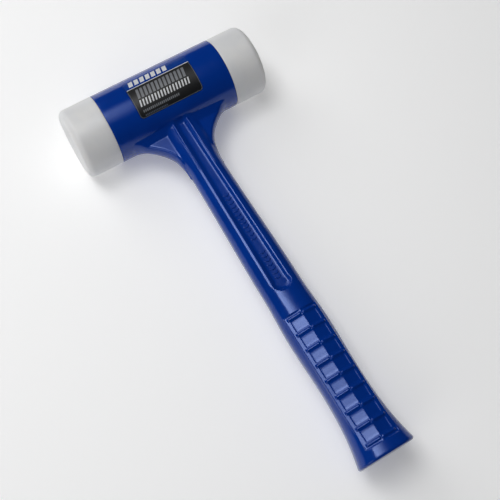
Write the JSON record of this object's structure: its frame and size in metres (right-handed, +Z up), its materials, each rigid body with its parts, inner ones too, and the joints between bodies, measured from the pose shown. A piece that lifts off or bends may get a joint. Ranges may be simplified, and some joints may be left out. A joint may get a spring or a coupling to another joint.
{
  "type": "dead blow mallet",
  "caption": "Dead blow mallet with a shot-filled steel canister moulded into a one-piece jacket and handle, and screw-on nylon striking faces on both ends.",
  "frame": {"origin": "bottom centre of the whole mallet's box, on the plane that the head lies on", "axes": "+X along the head's axis towards the right striking face, +Y from the butt towards the head, +Z up, out of the label side"},
  "size_m": [0.168, 0.368, 0.06],
  "materials": {
    "blue_moulding": "glossy moulded polyurethane, slight orange peel",
    "nylon": "natural white nylon, satin, turned",
    "printed_film": "satin printed film",
    "tube_steel": "drawn tube, dull",
    "turned_steel": "turned and zinc plated",
    "steel_shot": "worn round shot",
    "seal_rubber": "matt",
    "plug_plastic": "moulded"
  },
  "bodies": {
    "body": {"body_moulding": "blue_moulding", "label": "printed_film", "canister_tube": "tube_steel", "handle_core": "tube_steel", "core_saddle": "tube_steel", "core_pin_upper": "turned_steel", "core_pin_lower": "turned_steel", "core_end_plug": "plug_plastic", "canister_cap_left": "turned_steel", "canister_cap_right": "turned_steel", "cap_seal_left": "seal_rubber", "cap_seal_right": "seal_rubber"},
    "shot": {"shot_charge": "steel_shot"},
    "washer_right": {"face_washer_right": "turned_steel"},
    "face_right_unit": {"face_right": "nylon", "face_stud_right": "turned_steel"},
    "washer_left": {"face_washer_left": "turned_steel"},
    "face_left_unit": {"face_left": "nylon", "face_stud_left": "turned_steel"}
  },
  "joints": [
    {"name": "shot_slide", "type": "slide", "parent": "body", "child": "shot", "axis": [1, 0, 0], "range_m": [-0.0125, 0.0125]},
    {"name": "face_right_advance", "type": "slide", "parent": "body", "child": "washer_right", "axis": [1, 0, 0], "range_m": [0, 0.0125]},
    {"name": "face_right_turn", "type": "hinge", "parent": "washer_right", "child": "face_right_unit", "pos_m": [0.05, 0.154, 0.03], "axis": [1, 0, 0], "range_deg": [0, 1800]},
    {"name": "face_left_advance", "type": "slide", "parent": "body", "child": "washer_left", "axis": [-1, 0, 0], "range_m": [0, 0.0125]},
    {"name": "face_left_turn", "type": "hinge", "parent": "washer_left", "child": "face_left_unit", "pos_m": [-0.05, 0.154, 0.03], "axis": [-1, 0, 0], "range_deg": [0, 1800]}
  ],
  "couplings": [
    {"joint": "face_right_advance", "follows": "face_right_turn", "m_per_rad": 0.00039789},
    {"joint": "face_left_advance", "follows": "face_left_turn", "m_per_rad": 0.00039789}
  ]
}
